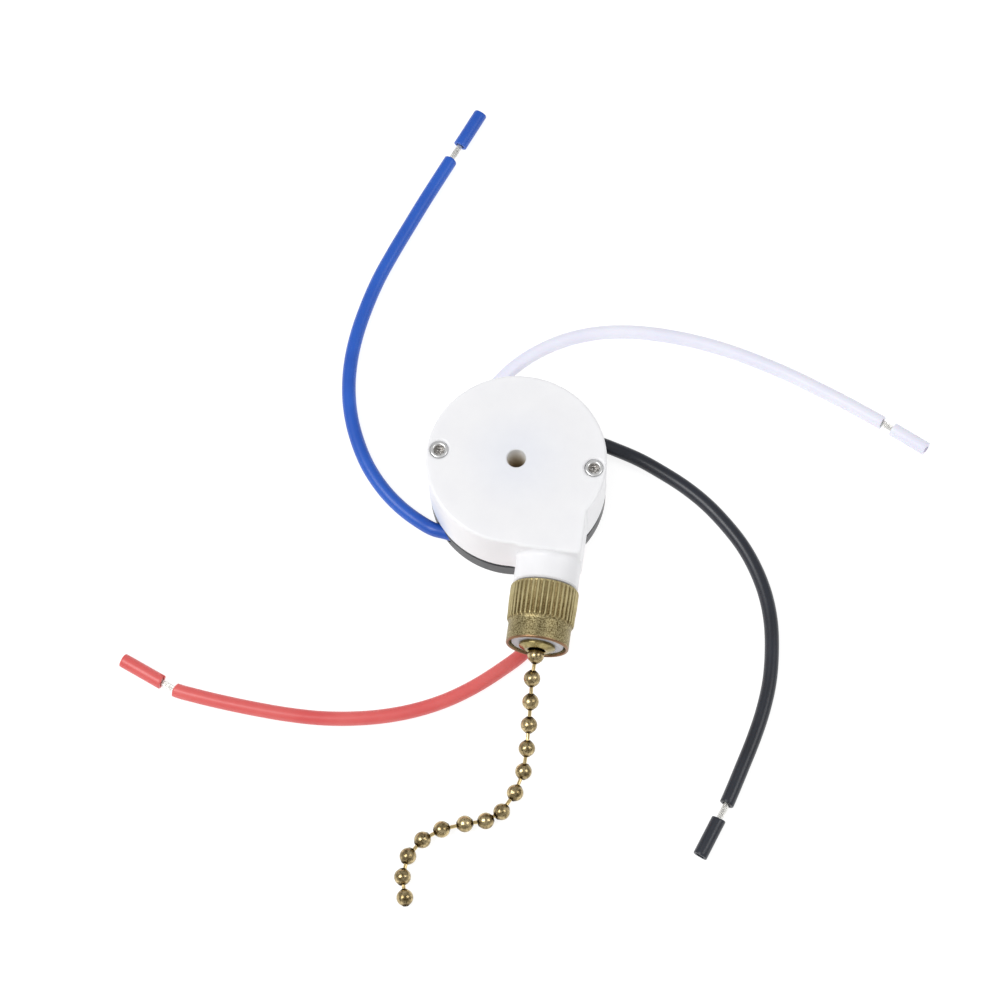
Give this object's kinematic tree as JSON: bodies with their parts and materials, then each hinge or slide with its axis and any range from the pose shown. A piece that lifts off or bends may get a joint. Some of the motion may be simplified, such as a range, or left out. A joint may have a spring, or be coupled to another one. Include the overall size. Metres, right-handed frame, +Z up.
{
  "type": "pull chain switch",
  "caption": "Round two-part rotary switch with a threaded neck, knurled brass nut, bead pull chain and four stripped lead wires.",
  "frame": {"origin": "centre of the flat underside of the base plate", "axes": "-Y along the threaded neck and the pull direction, +Z up through the round face of the cap, +X to the side the neck is offset to"},
  "size_m": [0.1521, 0.1694, 0.0185],
  "materials": {
    "nylon_white": "satin moulded nylon, slightly see-through",
    "phenolic_black": "satin moulded phenolic",
    "nickel": "nickel-plated rivet, polished",
    "antique_brass": "antique brass plating, dark in the hollows",
    "bright_brass": "bare stamped brass",
    "acetal": "moulded acetal",
    "spring_steel": "bright spring steel",
    "copper": "bare copper strip",
    "tinned_copper": "tinned copper strands",
    "pvc_blue": "satin PVC",
    "pvc_red": "satin PVC",
    "pvc_black": "satin PVC",
    "pvc_white": "satin PVC, lilac white"
  },
  "bodies": {
    "housing": {"base_plate": "phenolic_black", "top_cap": "nylon_white", "rivet_left": "nickel", "rivet_right": "nickel", "bell_mouth": "antique_brass", "return_spring": "spring_steel", "detent_leaf_back": "spring_steel", "detent_leaf_front": "spring_steel", "terminal_blue": "bright_brass", "terminal_red": "bright_brass", "terminal_black": "bright_brass", "terminal_white": "bright_brass", "wire_clamp_blue": "spring_steel", "wire_clamp_red": "spring_steel", "wire_clamp_black": "spring_steel", "wire_clamp_white": "spring_steel", "blue_wire_insulation": "pvc_blue", "blue_wire_conductor": "tinned_copper", "red_wire_insulation": "pvc_red", "red_wire_conductor": "tinned_copper", "black_wire_insulation": "pvc_black", "black_wire_conductor": "tinned_copper", "white_wire_insulation": "pvc_white", "white_wire_conductor": "tinned_copper"},
    "nut": {"cap_nut": "antique_brass"},
    "wheel": {"drive_wheel": "acetal", "chain_on_wheel": "antique_brass"},
    "rotor": {"index_rotor": "acetal", "moving_contact": "copper", "contact_spring": "spring_steel"},
    "chain_lead": {"chain_inner_run": "antique_brass", "chain_bead_01": "antique_brass", "chain_bead_02": "antique_brass", "chain_bead_03": "antique_brass", "chain_bead_04": "antique_brass"},
    "chain_part_1": {"chain_bead_05": "antique_brass", "chain_bead_06": "antique_brass"},
    "chain_part_2": {"chain_bead_07": "antique_brass", "chain_bead_08": "antique_brass"},
    "chain_part_3": {"chain_bead_09": "antique_brass", "chain_bead_10": "antique_brass"},
    "chain_part_4": {"chain_bead_11": "antique_brass", "chain_bead_12": "antique_brass"},
    "chain_part_5": {"chain_bead_13": "antique_brass", "chain_bead_14": "antique_brass", "chain_bead_15": "antique_brass"},
    "blue_slug": {"blue_wire_slug": "pvc_blue"},
    "red_slug": {"red_wire_slug": "pvc_red"},
    "black_slug": {"black_wire_slug": "pvc_black"},
    "white_slug": {"white_wire_slug": "pvc_white"}
  },
  "joints": [
    {"name": "chain_pull", "type": "slide", "parent": "housing", "child": "chain_lead", "axis": [0, -1, 0], "range_m": [0, 0.0135], "stiffness_N_per_m": 500, "springref_m": -0.008},
    {"name": "wheel_turn", "type": "hinge", "parent": "housing", "child": "wheel", "pos_m": [0, 0, 0.0112], "axis": [0, 0, 1], "range_deg": [-92, 2], "deforming": ["return_spring"]},
    {"name": "rotor_index", "type": "hinge", "parent": "housing", "child": "rotor", "pos_m": [0, 0, 0.0072], "axis": [0, 0, 1], "range_deg": [-92, 2], "deforming": ["detent_leaf_back", "detent_leaf_front"]},
    {"name": "cap_nut_turn", "type": "hinge", "parent": "housing", "child": "nut", "pos_m": [0.0086, -0.0292, 0.0112], "axis": [0, -1, 0], "continuous": true},
    {"name": "chain_bend_1", "type": "hinge", "parent": "chain_lead", "child": "chain_part_1", "pos_m": [0.00896, -0.05308, 0.0037], "axis": [0, 0, 1], "range_deg": [-15, 35]},
    {"name": "chain_bend_2", "type": "hinge", "parent": "chain_part_1", "child": "chain_part_2", "pos_m": [0.0078, -0.06147, 0.00165], "axis": [0, 0, 1], "range_deg": [-15, 35]},
    {"name": "chain_bend_3", "type": "hinge", "parent": "chain_part_2", "child": "chain_part_3", "pos_m": [0.003, -0.06763, 0.00165], "axis": [0, 0, 1], "range_deg": [-15, 35]},
    {"name": "chain_bend_4", "type": "hinge", "parent": "chain_part_3", "child": "chain_part_4", "pos_m": [-0.00504, -0.07035, 0.00165], "axis": [0, 0, 1], "range_deg": [-25, 20]},
    {"name": "chain_bend_5", "type": "hinge", "parent": "chain_part_4", "child": "chain_part_5", "pos_m": [-0.01062, -0.07633, 0.00165], "axis": [0, 0, 1], "range_deg": [-25, 12]},
    {"name": "blue_slug_pull", "type": "slide", "parent": "housing", "child": "blue_slug", "axis": [0.3714, 0.9285, 0], "range_m": [0, 0.0085]},
    {"name": "red_slug_pull", "type": "slide", "parent": "housing", "child": "red_slug", "axis": [-0.9237, 0.383, 0], "range_m": [0, 0.009]},
    {"name": "black_slug_pull", "type": "slide", "parent": "housing", "child": "black_slug", "axis": [-0.343, -0.9393, 0], "range_m": [0, 0.008]},
    {"name": "white_slug_pull", "type": "slide", "parent": "housing", "child": "white_slug", "axis": [0.8964, -0.4433, 0], "range_m": [0, 0.0079]}
  ],
  "couplings": [
    {"joint": "wheel_turn", "follows": "chain_pull", "rad_per_m": -116.28},
    {"joint": "rotor_index", "follows": "chain_pull", "rad_per_m": -116.28}
  ]
}
